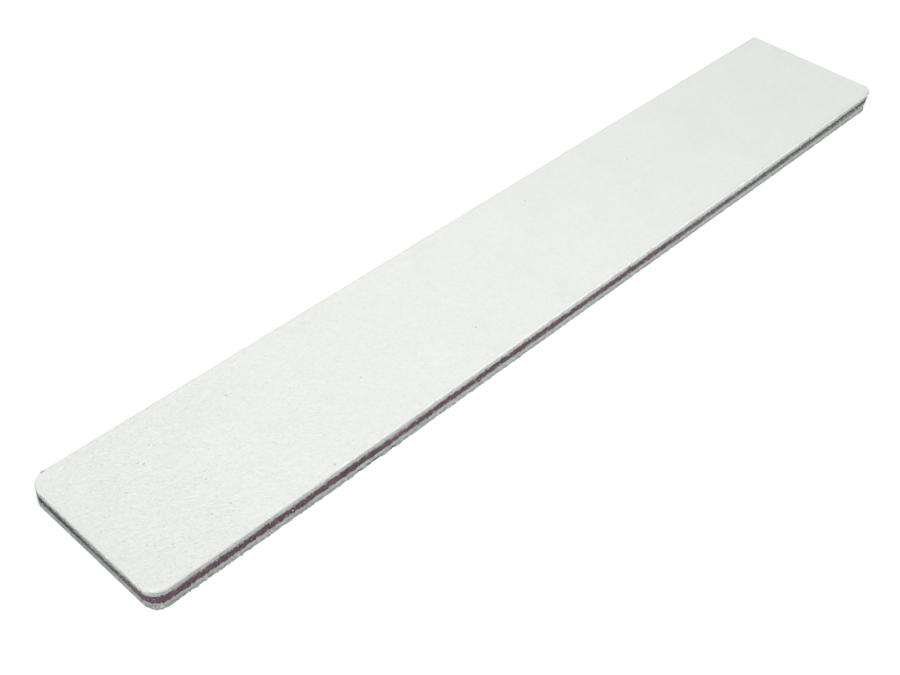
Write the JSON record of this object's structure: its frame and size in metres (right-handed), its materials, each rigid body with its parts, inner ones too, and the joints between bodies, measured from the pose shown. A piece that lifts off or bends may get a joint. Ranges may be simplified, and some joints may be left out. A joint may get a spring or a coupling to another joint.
{
  "type": "emery board",
  "caption": "Wide straight two-sided nail file: a rigid core between foam pads, with a fine abrasive sheet on each face and rounded corners, one of them sharper.",
  "frame": {"origin": "centre of the lower abrasive face, on the surface that the board lies on", "axes": "+X along the board's length, +Y across its width, +Z out of the upper abrasive face"},
  "size_m": [0.178, 0.029, 0.0037],
  "materials": {
    "core_plastic": "matte",
    "adhesive_film": "satin",
    "foam": "matte",
    "backing_paper": "matte",
    "bond_resin": "satin",
    "abrasive_grit": "matte"
  },
  "bodies": {
    "root": {"core_board": "core_plastic", "upper_core_adhesive": "adhesive_film", "lower_core_adhesive": "adhesive_film", "upper_foam_pad": "foam", "lower_foam_pad": "foam", "upper_sheet_adhesive": "adhesive_film", "lower_sheet_adhesive": "adhesive_film", "upper_backing_paper": "backing_paper", "lower_backing_paper": "backing_paper", "upper_bond_coat": "bond_resin", "lower_bond_coat": "bond_resin", "upper_grit_coat": "abrasive_grit", "lower_grit_coat": "abrasive_grit"}
  },
  "joints": []
}
